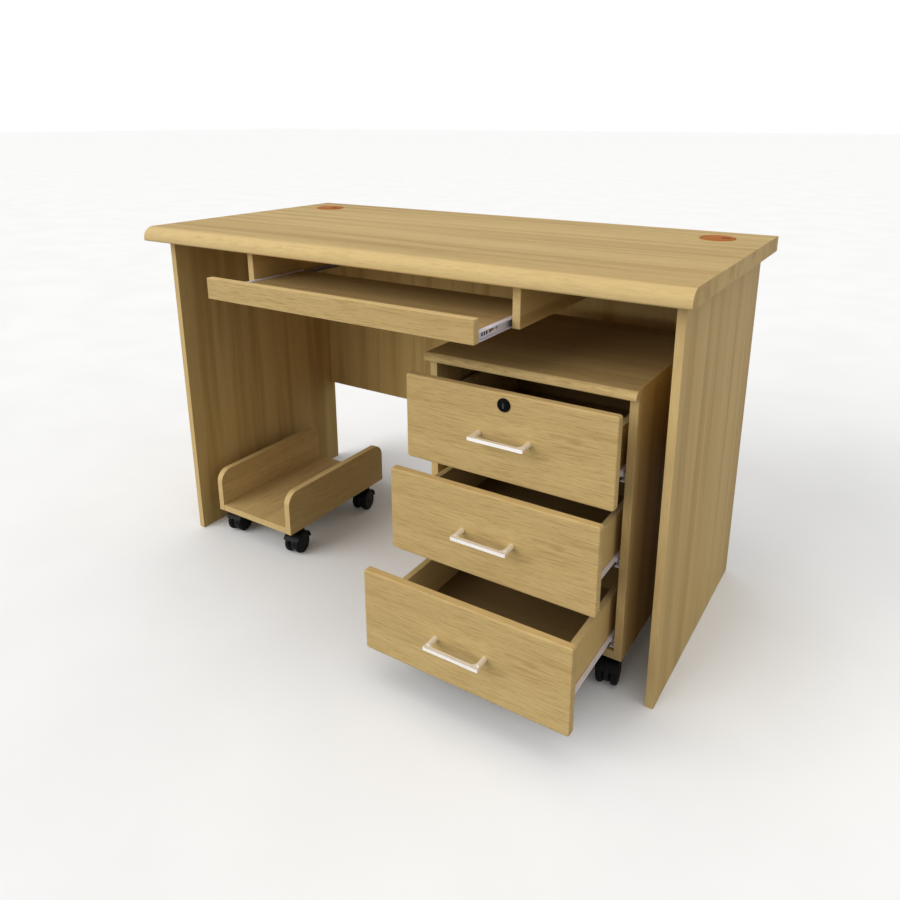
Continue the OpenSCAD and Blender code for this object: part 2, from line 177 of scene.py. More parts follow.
def oak(name, stripes=0.5, threads=0.6, rate=48.0, sway=0.030, knot=None, tint=None, blend=0.35):
    """Oak-print laminate. Its coordinates are the mesh's own "grain": along, across, sheet.

    stripes is the strength of the wide bands and rate their number to a metre, and threads is
    the strength of the fine lines. sway is how far they wander to the side. knot is a place in
    the print, (along, across), that the lines pass round. blend is the share of the tint.
    """
    s = Shader(name)
    grain = s.add("ShaderNodeAttribute", attribute_name="grain").outputs["Vector"]
    parts = s.add("ShaderNodeSeparateXYZ")
    s.join(grain, parts.inputs[0])
    along, across, sheet = parts.outputs

    def field(place_across, per_along, per_across, shift, detail=2.0, rough=0.5):
        """Noise with its own rates to a metre along and across, and its own shift of the sheet."""
        place = s.vector(
            s.math("MULTIPLY", along, per_along),
            s.math("MULTIPLY", place_across, per_across),
            s.math("ADD", sheet, shift),
        )
        return s.noise(place, detail=detail, roughness=rough)

    def drift(per_along, per_across, shift, most):
        centred = s.math("SUBTRACT", field(across, per_along, per_across, shift), 0.5)
        return s.math("MULTIPLY", centred, most)

    slow = drift(1.3, 3.5, 0.0, sway)
    quick = drift(7.0, 24.0, 2.3, sway / 6)
    bent = s.math("ADD", across, s.math("ADD", slow, quick))
    if knot:
        knot_long, knot_wide, push = 0.060, 0.022, 0.009
        dx = s.math("DIVIDE", s.math("SUBTRACT", along, knot[0]), knot_long)
        dy = s.math("DIVIDE", s.math("SUBTRACT", bent, knot[1]), knot_wide)
        square = s.math("ADD", s.math("MULTIPLY", dx, dx), s.math("MULTIPLY", dy, dy))
        near = s.math("DIVIDE", 1.0, s.math("ADD", 1.0, s.math("MULTIPLY", square, square)))
        bent = s.math("SUBTRACT", bent, s.math("MULTIPLY", s.math("MULTIPLY", dy, near), push))

    wide = field(bent, 0.35, 11.0, 5.1)
    band = field(bent, 0.9, rate, 9.7, 3.0, 0.55)
    thread = field(bent, 17.0, 400.0, 13.9, 3.0, 0.65)
    fibre = field(bent, 34.0, 800.0, 17.3, 2.0, 0.6)
    pore = field(bent, 60.0, 1900.0, 23.1)
    hue = field(across, 0.6, 3.0, 41.3, 1.0)

    tone = s.mix(s.span(wide, 0.36, 0.66), LIGHT_OAK, MID_OAK)
    tone = s.mix(s.span(band, 0.47, 0.64, 0.0, 0.60 * stripes), tone, DARK_OAK)
    tone = s.mix(s.span(band, 0.45, 0.32, 0.0, 0.60 * stripes), tone, LIGHT_OAK)
    tone = s.mix(s.span(thread, 0.46, 0.78, 0.0, 0.75 * threads), tone, DARK_OAK)
    tone = s.mix(s.span(thread, 0.46, 0.26, 0.0, 0.40 * threads), tone, LIGHT_OAK)
    tone = s.mix(s.span(fibre, 0.48, 0.74, 0.0, 0.60 * threads), tone, DARK_OAK)
    tone = s.mix(s.span(hue, 0.38, 0.66, 0.0, 0.22), tone, ROSY_OAK)
    if knot:
        rings = s.math("SINE", s.math("MULTIPLY", s.math("SQRT", square), 9.0))
        faint = s.math("MULTIPLY", s.span(rings, 0.2, 1.0, 0.0, 0.25), near)
        tone = s.mix(s.math("MULTIPLY", faint, s.span(thread, 0.35, 0.6)), tone, DARK_OAK)
    hole = s.span(pore, 0.66, 0.74)
    tone = s.mix(s.math("MULTIPLY", hole, 0.45), tone, PORE_OAK)
    if tint:
        tone = s.mix(blend, tone, tint)

    relief = s.math("SUBTRACT", s.math("MULTIPLY", fibre, 0.35), hole)
    s.set(
        Base_Color=tone,
        Roughness=s.math("ADD", s.math("MULTIPLY", fibre, 0.16), 0.42),
        Specular_IOR_Level=0.06,
        Normal=s.bump(relief, 0.00012, 0.5),
    )
    return s.material


def plain(name, colour, roughness, metallic=0.0, grit=600.0, depth=0.00005, vary=0.06, specular=0.5):
    """A moulded or lacquered surface with a fine skin and a slight change of tone.

    grit is the skin's number of grains to a metre and depth their height. vary is the share by
    which the tone changes.
    """
    s = Shader(name)
    place = s.coordinates()
    fine = s.noise(place, grit, 3.0, 0.6)
    cloud = s.noise(place, 23.0, 3.0, 0.55)
    deep, high = shaded(colour, 1 - 2.5 * vary), shaded(colour, 1 + vary)
    tone = s.mix(s.span(cloud, 0.3, 0.7), deep, high)
    tone = s.mix(s.span(fine, 0.58, 0.75, 0.0, 0.3), tone, deep)
    s.set(
        Base_Color=tone,
        Metallic=metallic,
        Roughness=s.span(cloud, 0.25, 0.75, roughness - 0.06, roughness + 0.08),
        Specular_IOR_Level=specular,
        Normal=s.bump(fine, depth, 0.6),
    )
    return s.material


def brushed(name, colour, roughness, axis, metallic=1.0, shade=0.82):
    """Metal drawn or brushed along one axis. shade is how much darker its lines are."""
    s = Shader(name)
    fine, long = 1400.0, 18.0
    scale = [fine, fine, fine]
    scale[axis] = long
    mapping = s.add("ShaderNodeMapping")
    s.join(s.coordinates(), mapping.inputs["Vector"])
    mapping.inputs["Scale"].default_value = scale
    lines = s.noise(mapping.outputs["Vector"], detail=3.0, roughness=0.6)
    cloud = s.noise(s.coordinates(), 30.0, 2.0)
    s.set(
        Base_Color=s.mix(s.span(lines, 0.3, 0.7), shaded(colour, shade), colour),
        Metallic=metallic,
        Roughness=s.math(
            "ADD",
            s.span(lines, 0.3, 0.7, 0.0, 0.14),
            s.span(cloud, 0.3, 0.7, roughness - 0.07, roughness),
        ),
        Normal=s.bump(lines, 0.00001, 0.4),
    )
    return s.material


oak_top = oak("oak_top", stripes=0.9, threads=0.55, rate=36.0)
oak_panel = oak("oak_panel", stripes=1.3, threads=0.50, rate=24.0, tint=srgb(208, 174, 104))
oak_front = oak("oak_front", stripes=0.25, threads=0.90, sway=0.012, knot=(0.276, 0.102))
oak_plain = oak("oak_plain", stripes=0.30, threads=1.0, sway=0.015)
# Painted highlight: the desktop's rounded front edge is tinted lighter for the light it catches
oak_nose_painted_highlight = oak("oak_nose_painted_highlight", stripes=0.20, threads=1.0, sway=0.015, tint=srgb(228, 204, 148))
# Painted shade: the tray's board and the pedestal's top are tinted darker for the shade under the
# desktop
oak_under_desk_painted_shade = oak("oak_under_desk_painted_shade", stripes=0.50, threads=0.80, tint=srgb(126, 98, 58))
# Painted shade: the drawers' backs and bottoms are tinted much darker for the shade inside the drawers
oak_drawer_inside_painted_shade = oak("oak_drawer_inside_painted_shade", stripes=0.50, threads=0.80, tint=srgb(110, 84, 48), blend=0.70)
oak_edge = oak("oak_edge", stripes=0.20, threads=0.90, tint=srgb(226, 196, 138))
amber = plain("amber_plastic", srgb(174, 101, 34), 0.50, grit=900.0, vary=0.05, specular=0.10)
black_plastic = plain("black_nylon", srgb(9, 9, 10), 0.48, grit=1100.0, depth=0.00008, specular=0.18)
black_wheel = plain("black_tread", srgb(7, 7, 8), 0.60, grit=700.0, depth=0.0001, specular=0.15)
black_lock = plain("black_lacquer", srgb(7, 7, 8), 0.50, grit=900.0, specular=0.06)
dark_steel = plain("dark_steel", srgb(44, 44, 47), 0.35, metallic=0.6, grit=900.0)
lock_steel = plain("lock_steel", srgb(165, 165, 168), 0.4, metallic=0.2, grit=900.0)
lacquer = plain("slide_lacquer", srgb(232, 226, 234), 0.36, grit=800.0, vary=0.03)
# Painted shade: the fixed tray rails are a darker grey than the runners for the shade they lie in
slide_lacquer_painted_shade = plain("slide_painted_shade", srgb(150, 144, 152), 0.45, grit=800.0, vary=0.04)
roller_nylon = plain("roller_nylon", srgb(226, 224, 220), 0.4, grit=700.0, vary=0.03)
zinc = brushed("bright_zinc", srgb(196, 196, 200), 0.30, Y)
brass = brushed("brass_catch", srgb(176, 138, 84), 0.42, Y, metallic=0.6)
satin = brushed("satin_aluminium", srgb(253, 250, 247), 0.30, X, metallic=0.65, shade=0.95)
beech = plain("beech", srgb(205, 172, 122), 0.6, grit=300.0, vary=0.08)


# ------------------------------------------------------------------ meshes


def seed_of(name):
    """A steady number from a name, so each board is cut from its own stretch of print."""
    return zlib.crc32(name.encode()) / 2**32


def temporary(bm):
    """An object that holds a bmesh while a modifier works on it."""
    mesh = bpy.data.meshes.new("temporary")
    for _ in range(4):
        mesh.materials.append(None)
    bm.to_mesh(mesh)
    bm.free()
    holder = bpy.data.objects.new("temporary", mesh)
    scene.collection.objects.link(holder)
    return holder


def carved(bm, cut=(), add=()):
    """The bmesh with some solids joined on and others cut away."""
    for part in (bm, *cut, *add):
        bmesh.ops.recalc_face_normals(part, faces=part.faces)
    base = temporary(bm)
    tools = [(temporary(t), "UNION") for t in add] + [(temporary(t), "DIFFERENCE") for t in cut]
    for tool, operation in tools:
        change = base.modifiers.new("carve", "BOOLEAN")
        change.operation = operation
        change.solver = "EXACT"
        change.object = tool
    bpy.context.view_layer.update()
    evaluated = base.evaluated_get(bpy.context.evaluated_depsgraph_get())
    result = bmesh.new()
    result.from_mesh(evaluated.to_mesh())
    evaluated.to_mesh_clear()
    for holder in [base] + [tool for tool, _ in tools]:
        mesh = holder.data
        bpy.data.objects.remove(holder)
        bpy.data.meshes.remove(mesh)
    return result


def joined(*parts):
    """One bmesh of several."""
    whole = bmesh.new()
    for part in parts:
        mesh = bpy.data.meshes.new("part")
        part.to_mesh(mesh)
        part.free()
        whole.from_mesh(mesh)
        bpy.data.meshes.remove(mesh)
    return whole


def painted(bm, index):
    for face in bm.faces:
        face.material_index = index
    return bm


def moved(bm, place=(0, 0, 0), axis=Z, back=False):
    """Turns a shape made along +Z to lie along an axis, or back along it, and then moves it."""
    turn = {
        X: Matrix.Rotation(math.pi / 2, 4, "Y"),
        Y: Matrix.Rotation(-math.pi / 2, 4, "X"),
        Z: Matrix.Identity(4),
    }[axis]
    if back:
        turn = turn @ Matrix.Rotation(math.pi, 4, "X")
    bm.transform(Matrix.Translation(place) @ turn)
    return bm


def mirrored_pair(half, x=0.0):
    """A bmesh with its mirror image across the plane at x."""
    other = half.copy()
    for vert in other.verts:
        vert.co.x = 2 * x - vert.co.x
    bmesh.ops.reverse_faces(other, faces=other.faces)
    return joined(other, half)


def finish(name, bm, materials, body, covers):
    """Makes a piece of a bmesh, lets it ride on a CAD body, and hides the CAD nodes it covers."""
    mesh = bpy.data.meshes.new(name)
    bmesh.ops.recalc_face_normals(bm, faces=bm.faces)
    bm.to_mesh(mesh)
    bm.free()
    for material in materials:
        mesh.materials.append(material)
    mesh.polygons.foreach_set("use_smooth", [True] * len(mesh.polygons))
    mesh.set_sharp_from_angle(angle=SHARP_ANGLE)
    piece = bpy.data.objects.new(name, mesh)
    scene.collection.objects.link(piece)
    piece.modifiers.new("even", "WEIGHTED_NORMAL").keep_sharp = True
    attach(piece, body)
    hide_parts(*covers)
    return piece


def block(low, high, radius=0.0, segments=2):
    """A block between two corners, with all its edges rounded if a radius is given."""
    bm = bmesh.new()
    bmesh.ops.create_cube(bm, size=1.0)
    low, high = Vector(low), Vector(high)
    for vert in bm.verts:
        vert.co = Vector(low[k] + (vert.co[k] + 0.5) * (high[k] - low[k]) for k in range(3))
    if radius:
        round_edges(bm, lambda a, b: True, radius, segments)
    return bm


def round_edges(bm, test, radius, segments=3):
    """Rounds the edges whose two ends pass the test."""
    edges = [e for e in bm.edges if test(e.verts[0].co, e.verts[1].co)]
    if edges:
        bmesh.ops.bevel(
            bm, geom=edges, offset=radius, offset_type="OFFSET", segments=segments,
            profile=0.5, affect="EDGES", clamp_overlap=True,
        )
    return bm


def extruded(outline, axis, start, stop):
    """A prism along one axis. The outline's points are on the other two axes, in X, Y, Z order."""
    bm = bmesh.new()

    def place(point, at):
        at_point = list(point)
        at_point.insert(axis, at)
        return bm.verts.new(at_point)

    near = [place(p, start) for p in outline]
    far = [place(p, stop) for p in outline]
    bm.faces.new(near)
    bm.faces.new(far)
    count = len(outline)
    for k in range(count):
        bm.faces.new((near[k], near[(k + 1) % count], far[(k + 1) % count], far[k]))
    return bm


def arc(centre, radius, start, stop, steps):
    """Points round a centre, from one angle to another, in degrees."""
    points = []
    for k in range(steps + 1):
        angle = math.radians(start + (stop - start) * k / steps)
        points.append((centre[0] + radius * math.cos(angle), centre[1] + radius * math.sin(angle)))
    return points


def rounded(points, radii, steps=4, closed=True):
    """A line of points with its corners rounded, by one radius or by one for each point."""
    count = len(points)
    if not isinstance(radii, (list, tuple)):
        radii = [radii] * count
    line = []
    for k, (point, radius) in enumerate(zip(points, radii)):
        here = Vector(point)
        if radius == 0 or (not closed and k in (0, count - 1)):
            line.append(tuple(here))
            continue
        before = (Vector(points[k - 1]) - here).normalized()
        after = (Vector(points[(k + 1) % count]) - here).normalized()
        half = before.angle(after) / 2
        centre = here + (before + after).normalized() * radius / math.sin(half)
        start = here + before * radius / math.tan(half) - centre
        turn = start.angle_signed(here + after * radius / math.tan(half) - centre)
        first = math.atan2(start.y, start.x)
        for i in range(steps + 1):
            angle = first - turn * i / steps
            line.append((centre.x + radius * math.cos(angle), centre.y + radius * math.sin(angle)))
    return line


def bent(points, thick, bend, steps=4):
    """The closed outline of a steel sheet that follows an open line of points."""
    line = [Vector(p) for p in rounded(points, bend, steps, closed=False)]
    one, other = [], []
    for k, here in enumerate(line):
        run = (line[min(k + 1, len(line) - 1)] - line[max(k - 1, 0)]).normalized()
        aside = Vector((-run.y, run.x)) * thick / 2
        one.append(tuple(here + aside))
        other.append(tuple(here - aside))
    return one + other[::-1]


def lathed(profile, closed=False, segments=48):
    """A solid turned about Z. The profile's points are (radius, height)."""
    bm = bmesh.new()
    rings = []
    for radius, height in profile:
        if radius < 1e-7:
            rings.append([bm.verts.new((0, 0, height))])
            continue
        ring = arc((0, 0), radius, 0, 360 * (segments - 1) / segments, segments - 1)
        rings.append([bm.verts.new((x, y, height)) for x, y in ring])
    pairs = list(zip(rings, rings[1:]))
    if closed:
        pairs.append((rings[-1], rings[0]))
    for a, b in pairs:
        for k in range(segments):
            n = (k + 1) % segments
            corners = dict.fromkeys((a[k % len(a)], a[n % len(a)], b[n % len(b)], b[k % len(b)]))
            bm.faces.new(list(corners))
    return bm


def rod(radius, length, edge=0.0, segments=48):
    """A round bar from the origin up, with its two rims rounded if an edge is given."""
    outline = [(0, 0), (radius, 0), (radius, length), (0, length)]
    if edge:
        outline = rounded(outline, edge, 3, closed=False)
    return lathed(outline, segments=segments)


def screw_head(radius, height):
    """A pan head with a cross cut in it, standing up from the origin."""
    head = lathed(
        [(0, 0), (radius, 0), (radius, 0.35 * height)]
        + arc((radius - 0.65 * height, 0.35 * height), 0.65 * height, 0, 90, 5)[1:]
        + [(0, height)],
        segments=32,
    )
    slot, deep = 0.13 * radius, 0.5 * height
    long = 0.62 * radius
    cross = [
        block((-slot, -long, height - deep), (slot, long, height + deep)),
        block((-long, -slot, height - deep), (long, slot, height + deep)),
    ]
    return carved(head, cut=cross)


def lay_grain(piece, along, thick, seed, origin=(0, 0, 0)):
    """Writes each face corner's place in the print: along the grain, across it, and the sheet.

    seed sets the stretch of print that the board is cut from.
    """
    back_sheet = 0.37
    mesh = piece.data
    across = 3 - along - thick
    layer = mesh.attributes.new("grain", "FLOAT_VECTOR", "CORNER")
    values = [0.0] * (3 * len(mesh.loops))
    middle = sum((v.co[thick] for v in mesh.vertices), 0.0) / len(mesh.vertices)
    for face in mesh.polygons:
        normal = face.normal
        facing = max(range(3), key=lambda k: abs(normal[k]))
        for loop in face.loop_indices:
            co = mesh.vertices[mesh.loops[loop].vertex_index].co
            depth = co[thick] - middle
            sheet = 0.0 if depth > 0 else back_sheet
            if facing == thick:
                place = (co[along] - origin[along], co[across] - origin[across], sheet)
            elif facing == along:
                place = (depth, co[across] - origin[across], sheet)
            else:
                place = (co[along] - origin[along], co[across] - origin[across] - depth, 0.0)
            values[3 * loop : 3 * loop + 3] = (
                place[0] + 9 * seed, place[1] + 7 * seed, place[2] + 31 * seed
            )
    layer.data.foreach_set("vector", values)


def edge_faces(piece, thick):
    """Gives the faces at a board's edges its second material."""
    for face in piece.data.polygons:
        if abs(face.normal[thick]) < 0.7:
            face.material_index = 1


def board(node, body, along, thick, material=oak_panel, radius=0.0009, cut=()):
    low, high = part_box(node)
    bm = block(low, high, radius, 3)
    if cut:
        bm = carved(bm, cut=list(cut))
    piece = finish(f"{node}_board", bm, [material, oak_edge], body, [node])
    lay_grain(piece, along, thick, seed_of(node))
    edge_faces(piece, thick)
    return piece


def nosed_board(node, body, nose, foot, seed, face, lip, cut=()):
    """A slab whose front edge is rounded above by nose and below by foot.

    face is its material, and lip that of the rounded edge.
    """
    low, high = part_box(node)
    rim = 0.001
    corners = [(low.y, low.z), (low.y, high.z), (high.y, high.z), (high.y, low.z)]
    outline = rounded(corners, [foot, nose, rim, rim], 12)
    bm = extruded(outline, X, low.x, high.x)
    round_edges(bm, lambda a, b: abs(a.x - b.x) < 1e-6, 0.0009, 2)
    if cut:
        bm = carved(bm, cut=list(cut))
    piece = finish(f"{node}_board", bm, [face, oak_panel, lip], body, [node])
    lay_grain(piece, X, Z, seed)
    for polygon in piece.data.polygons:
        if abs(polygon.normal.x) > 0.7:
            polygon.material_index = 1
        elif polygon.normal.y < -0.3:
            polygon.material_index = 2
    return piece


# -------------------------------------------------------------------- desk

lid_boxes = {side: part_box(f"grommet_lid_{side}") for side in ("left", "right")}
lid_r = (lid_boxes["left"][1].y - lid_boxes["left"][0].y) / 2
ring_low, ring_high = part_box("grommet_rings")
flange_r = (ring_high.y - ring_low.y) / 2
lid_seat_r = lid_r + CLEAR
sleeve_r = lid_seat_r + 0.0029
lid_centres = {
    side: Vector((low.x + lid_r, (low.y + high.y) / 2, low.z))
    for side, (low, high) in lid_boxes.items()
}
top_low, top_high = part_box("desktop")
under_z, desk_z = top_low.z, top_high.z


def grommet_holes():
    hole_r, drill_l = sleeve_r + 0.0001, 0.1
    for c in lid_centres.values():
        yield moved(rod(hole_r, drill_l, segments=96), (c.x, c.y, desk_z - drill_l / 2))


def grommet_ring(centre):
    """A flanged sleeve with a ledge that holds its lid."""
    seat_z, ledge_z, ledge_r = centre.z - CLEAR, centre.z - 0.004, lid_seat_r - 0.002
    top_z, wall_r = ring_high.z, sleeve_r - lid_seat_r
    outline = rounded(
        [
            (lid_seat_r, under_z), (sleeve_r, under_z), (sleeve_r, desk_z), (flange_r, desk_z),
            (flange_r, top_z), (lid_seat_r, top_z), (lid_seat_r, seat_z), (ledge_r, seat_z),
            (ledge_r, ledge_z), (lid_seat_r, ledge_z - wall_r),
        ],
        [0, 0, 0, 0.0003, 0.0015, 0.0004, 0, 0.0003, 0.0003, 0],
    )
    return moved(lathed(outline, closed=True, segments=96), (centre.x, centre.y, 0))


def grommet_lid(side):
    """A lid with a groove round its face and a notch for the cables."""
    centre, (low, high) = lid_centres[side], lid_boxes[side]
    thick, groove_r, groove = high.z - low.z, 0.78 * lid_r, 0.0005
    outline = rounded(
        [
            (0, 0), (lid_r, 0), (lid_r, thick), (groove_r + 2 * groove, thick),
            (groove_r + groove, thick - groove), (groove_r, thick), (0, thick),
        ],
        [0, 0.0003, 0.0006, 0, 0, 0, 0],
        closed=False,
    )
    near, far, half, corner = lid_r / 3 - CLEAR, 2 * lid_r, 0.008, 0.003
    notch = extruded(
        rounded([(near, -half), (far, -half), (far, half), (near, half)], [corner, 0, 0, corner]),
        Z, -thick, 2 * thick,
    )
    bm = moved(carved(lathed(outline, segments=96), cut=[notch]), (centre.x, centre.y, low.z))
    finish(f"cable_lid_{side}", bm, [amber], f"lid_{side}", [f"grommet_lid_{side}"])


# The desktop's rounded front edge carries a painted highlight
nosed_board("desktop", "desk", 0.025, 0.004, 0.21, oak_top, oak_nose_painted_highlight, grommet_holes())
rings = joined(*(grommet_ring(c) for c in lid_centres.values()))
finish("cable_grommets", rings, [amber], "desk", ["grommet_rings"])
for side in ("left", "right"):
    grommet_lid(side)
    board(f"desk_side_{side}", "desk", Z, X)
    board(f"partition_{side}", "desk", Y, X)
board("modesty_panel", "desk", Z, Y)

# -------------------------------------------------------------------- tray

sheet_t = 0.001


def tray_runners():
    """Open channels along the tray's edges, with a ribbed stop and a release lever at the front."""
    low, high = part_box("tray_runners")
    web_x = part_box("tray_board")[1].x + sheet_t / 2
    z0, z1 = low.z + sheet_t / 2, high.z - sheet_t / 2
    middle, lip_x, lip = (z0 + z1) / 2, high.x - sheet_t / 2, 0.0014
    rib_start, rib_pitch, rib_w, rib_t, rib_half = 0.024, 0.0075, 0.0034, 0.0008, 0.0045
    lever_start, lever_l, lever_half, lever_t = 0.048, 0.018, 0.004, 0.0012
    outline = bent(
        [(lip_x, z1 - lip), (lip_x, z1), (web_x, z1), (web_x, z0), (lip_x, z0), (lip_x, z0 + lip)],
        sheet_t, 0.0009,
    )
    parts = [extruded(outline, Y, low.y, high.y)]
    web_face = web_x + sheet_t / 2
    for k in range(3):
        y = low.y + rib_start + rib_pitch * k
        foot, head = (web_face, y, middle - rib_half), (web_face + rib_t, y + rib_w, middle + rib_half)
        parts.append(painted(block(foot, head, 0.0003), 1))
    lever_y = low.y + lever_start
    lever = rounded(
        [(lever_y, middle - lever_half), (lever_y + lever_l, middle), (lever_y, middle + lever_half)],
        [0.0008, 0.001, 0.0008],
    )
    parts.append(painted(extruded(lever, X, web_face, web_face + lever_t), 2))
    for share in (0.3, 0.58, 0.92):
        place = (web_face, low.y + share * (high.y - low.y), middle)
        parts.append(painted(moved(screw_head(0.0028, 0.0009), place, X), 3))
    finish(
        "tray_slide_channels", mirrored_pair(joined(*parts)), [lacquer, dark_steel, brass, zinc],
        "tray", ["tray_runners"],
    )


def tray_rails():
    """The channels on the partitions, held by three screws each."""
    low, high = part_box("tray_rails")
    web_x, flange_x = high.x - sheet_t / 2, high.x - 0.008 + sheet_t / 2
    z0, z1 = low.z + sheet_t / 2, high.z - sheet_t / 2
    outline = bent([(flange_x, z1), (web_x, z1), (web_x, z0), (flange_x, z0)], sheet_t, 0.0009)
    parts = [extruded(outline, Y, low.y, high.y)]
    for share in (0.12, 0.5, 0.88):
        place = (web_x - sheet_t / 2, low.y + share * (high.y - low.y), (z0 + z1) / 2)
        parts.append(painted(moved(screw_head(0.0026, 0.0012), place, X, back=True), 1))
    # The rails' darker grey is painted shade
    finish(
        "tray_slide_rails", mirrored_pair(joined(*parts)), [slide_lacquer_painted_shade, zinc], "desk",
        ["tray_rails"],
    )


# The tray's board is tinted darker: painted shade
board("tray_board", "tray", X, Z, oak_under_desk_painted_shade)
board("tray_fascia", "tray", X, Y, oak_plain, radius=0.0012)
tray_runners()
tray_rails()

# ---------------------------------------------------------------- pedestal

ped_middle = sum(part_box("ped_top")[k].x for k in (0, 1)) / 2
# Every runner member: its steel, its height, and how far a drawer's member stands above the fixed one
steel_t, rail_h, rail_drop = 0.0012, 0.016, 0.0025
stem_r, stem_l = 0.004, 0.012


def stem_sockets(own, base):
    """Sockets for the caster stems, where the swivel joints stand."""
    low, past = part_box(base)[0], 0.001
    for joint in frame["joints"]:
        if joint["name"].startswith(f"{own}_swivel"):
            x, y = joint["pos_m"][:2]
            yield moved(rod(stem_r + FIT, stem_l + CLEAR + past), (x, y, low.z - past))


def roller(radius, width):
    """A nylon wheel with a hollow face and a crowned rim, standing up from the origin."""
    hub, dish = 0.4 * radius, 0.85 * width
    outline = rounded(
        [
            (0, 0), (radius, 0), (radius, width), (0.8 * radius, width),
            (0.75 * radius, dish), (hub, dish), (hub, width), (0, width),
        ],
        [0, 0.0008, 0.0008, 0, 0, 0, 0.0003, 0],
        closed=False,
    )
    return lathed(outline, segments=40)


def ped_rails():
    """The fixed runner members: an open channel with a roller where it starts."""
    low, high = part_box("ped_rails")
    wall = high.x
    flange_x, web_x = wall - 0.009 + steel_t / 2, wall - steel_t / 2
    roller_y, roller_r, roller_w, roller_x = 0.008, 0.006, 0.006, wall - 0.0047
    start = roller_y + roller_r + 0.002
    parts = []
    for k in (1, 2, 3):
        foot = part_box(f"drawer_{k}_runners")[0].z - rail_drop
        z0, z1 = foot + steel_t / 2, foot + rail_h - steel_t / 2
        lower = [(web_x, z1), (web_x, z0), (flange_x, z0)]
        parts.append(extruded(bent(lower, steel_t, 0.001), Y, low.y, low.y + start))
        whole = [(flange_x, z1)] + lower
        parts.append(extruded(bent(whole, steel_t, 0.001), Y, low.y + start, high.y))
        axle_z = foot + rail_drop + rail_h - steel_t - CLEAR - roller_r
        hub = (web_x, low.y + roller_y, axle_z)
        parts.append(painted(moved(rod(0.002, web_x - roller_x + 0.0005), hub, X, back=True), 1))
        seat = (roller_x, low.y + roller_y, axle_z)
        parts.append(painted(moved(roller(roller_r, roller_w), seat, X, back=True), 2))
        for share in (0.15, 0.5, 0.85):
            place = (web_x - steel_t / 2, low.y + share * (high.y - low.y), foot + rail_h / 2)
            parts.append(painted(moved(screw_head(0.003, 0.0010), place, X, back=True), 1))
    finish(
        "pedestal_rails", mirrored_pair(joined(*parts), ped_middle), [lacquer, zinc, roller_nylon],
        "pedestal", ["ped_rails"],
    )


# The pedestal's top is tinted darker: painted shade
nosed_board("ped_top", "pedestal", 0.012, 0.002, 0.43, oak_under_desk_painted_shade, oak_plain)
for side in ("left", "right"):
    board(f"ped_side_{side}", "pedestal", Z, X)
board("ped_bottom", "pedestal", X, Z, cut=stem_sockets("ped", "ped_bottom"))
board("ped_back", "pedestal", Z, Y)
ped_rails()

# ----------------------------------------------------------------- drawers

lock_barrel_r = 0.009


def drawer_front(k):
    """A front with rounded corners. The top drawer's has the hole for its lock."""
    node = f"drawer_{k}_front"
    low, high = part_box(node)
    bm = block(low, high)
    round_edges(bm, lambda a, b: abs(a.y - b.y) > 0.01, 0.005, 5)
    round_edges(bm, lambda a, b: max(a.y, b.y) < low.y + 1e-6, 0.0028, 4)
    round_edges(bm, lambda a, b: min(a.y, b.y) > high.y - 1e-6, 0.0008, 2)
    if k == 1:
        centre, drill_l = sum(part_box("lock_housing"), Vector()) / 2, 0.1
        drill = moved(rod(lock_barrel_r + FIT, drill_l), (centre.x, low.y - drill_l / 2, centre.z), Y)
        bm = carved(bm, cut=[drill])
    piece = finish(f"{node}_board", bm, [oak_front, oak_edge], f"drawer_{k}", [node])
    lay_grain(piece, X, Y, 0, low)


def drawer_box(k):
    """The two sides, grooved for the bottom, with the back and the bottom."""
    body = f"drawer_{k}"
    low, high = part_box(f"drawer_{k}_sides")
    inner_low, inner_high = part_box(f"drawer_{k}_back")
    floor_low, floor_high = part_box(f"drawer_{k}_bottom")
    edge = 0.0008
    pair = joined(
        block(low, (inner_low.x, high.y, high.z), edge),
        block((inner_high.x, low.y, low.z), high, edge),
    )
    past = Vector((0.0, 0.01, 0.0))
    groove = block(floor_low - past, floor_high + past)
    sides = finish(
        f"drawer_{k}_sides_board", carved(pair, cut=[groove]), [oak_panel, oak_edge], body,
        [f"drawer_{k}_sides"],
    )
    lay_grain(sides, Y, X, 0.31 + 0.1 * k)
    edge_faces(sides, X)
    # The drawer's back and bottom are tinted darker: painted shade
    board(f"drawer_{k}_back", body, X, Y, oak_drawer_inside_painted_shade)
    board(f"drawer_{k}_bottom", body, X, Z, oak_drawer_inside_painted_shade, radius=0.0004)


def drawer_runners(k):
    """Runner members that wrap the drawer sides' lower edges, each with a roller at the back."""
    low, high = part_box(f"drawer_{k}_runners")
    side_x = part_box(f"drawer_{k}_sides")[1].x
    box_t, flange_w, roller_x, roller_w = 0.012, 0.009, 0.0045, 0.006
    web_x = side_x + steel_t / 2
    z0, z1 = low.z + steel_t / 2, low.z + rail_h - steel_t / 2
    outline = bent(
        [(side_x - box_t, z0), (web_x, z0), (web_x, z1), (side_x + flange_w - steel_t / 2, z1)],
        steel_t, 0.001,
    )
    parts = [extruded(outline, Y, low.y, high.y)]
    channel_h = rail_h - 2 * steel_t
    axle = (web_x, high.y - 0.012, low.z + steel_t + channel_h / 2 - rail_drop)
    parts.append(painted(moved(rod(0.002, roller_x), axle, X), 1))
    wheel = roller(channel_h / 2 - CLEAR, roller_w)
    parts.append(painted(moved(wheel, (side_x + roller_x, axle[1], axle[2]), X), 2))
    for share in (0.08, 0.45, 0.85):
        place = (side_x + steel_t, low.y + share * (high.y - low.y), low.z + rail_h / 2)
        parts.append(painted(moved(screw_head(0.003, 0.00035), place, X), 1))
    finish(
        f"drawer_{k}_runner_pair", mirrored_pair(joined(*parts), ped_middle),
        [lacquer, zinc, roller_nylon], f"drawer_{k}", [f"drawer_{k}_runners"],
    )


